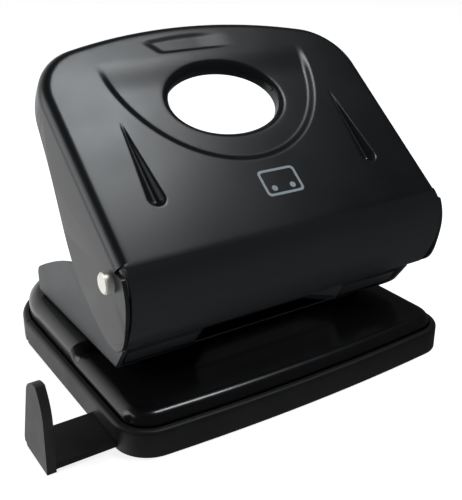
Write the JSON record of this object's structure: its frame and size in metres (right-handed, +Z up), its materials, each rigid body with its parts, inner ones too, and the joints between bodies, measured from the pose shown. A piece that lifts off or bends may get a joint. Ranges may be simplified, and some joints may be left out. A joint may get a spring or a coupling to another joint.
{
  "type": "hole punch",
  "caption": "Two-hole desk punch with a sloped sheet-steel lever handle, sliding paper guide and chip flap.",
  "frame": {"origin": "centre of the base's underside, where it stands on the desk", "axes": "+Z up, +Y to the back, away from the paper; +X to the right, along the pivot axle"},
  "size_m": [0.138, 0.1061, 0.0999],
  "materials": {
    "handle_paint": "satin black paint over pressed steel",
    "bracket_paint": "satin charcoal paint over folded steel",
    "base_paint": "gloss black paint over pressed steel",
    "black_plastic": "fine moulded texture",
    "zinc_steel": "zinc plated, lightly turned",
    "pin_steel": "ground tool steel",
    "spring_steel": "drawn spring wire",
    "raw_steel": "plain folded steel",
    "nylon": "natural nylon"
  },
  "bodies": {
    "base": {"base_plate": "base_paint", "bottom_cover": "black_plastic", "punch_bracket": "bracket_paint", "guide_bridge": "raw_steel", "bracket_rivets": "zinc_steel", "pivot_axle": "zinc_steel", "axle_clip_left": "spring_steel", "axle_clip_right": "spring_steel", "pivot_washer_left": "nylon", "pivot_washer_right": "nylon", "spring_left": "spring_steel", "spring_right": "spring_steel"},
    "handle": {"handle_shell": "handle_paint", "press_bar": "raw_steel"},
    "pin_left": {"punch_pin_left": "pin_steel", "pin_clip_left": "spring_steel", "spring_seat_left": "zinc_steel"},
    "pin_right": {"punch_pin_right": "pin_steel", "pin_clip_right": "spring_steel", "spring_seat_right": "zinc_steel"},
    "paper_guide": {"paper_guide": "black_plastic"},
    "chip_flap": {"chip_flap": "black_plastic"}
  },
  "joints": [
    {"name": "handle_pivot", "type": "hinge", "parent": "base", "child": "handle", "pos_m": [0, -0.0355, 0.0465], "axis": [-1, 0, 0], "range_deg": [0, 26], "stiffness_Nm_per_rad": 0.45, "springref_deg": -17.19},
    {"name": "pin_left_slide", "type": "slide", "parent": "base", "child": "pin_left", "axis": [0, 0, -1], "range_m": [0, 0.0069], "deforming": ["spring_left"]},
    {"name": "pin_right_slide", "type": "slide", "parent": "base", "child": "pin_right", "axis": [0, 0, -1], "range_m": [0, 0.0069], "deforming": ["spring_right"]},
    {"name": "paper_guide_slide", "type": "slide", "parent": "base", "child": "paper_guide", "axis": [-1, 0, 0], "range_m": [-0.0158, 0.035]},
    {"name": "chip_flap_hinge", "type": "hinge", "parent": "base", "child": "chip_flap", "pos_m": [0, 0.0287, 0.0013], "axis": [-1, 0, 0], "range_deg": [0, 65]}
  ],
  "couplings": [
    {"joint": "pin_left_slide", "follows": "handle_pivot", "m_per_rad": 0.015},
    {"joint": "pin_right_slide", "follows": "handle_pivot", "m_per_rad": 0.015}
  ]
}
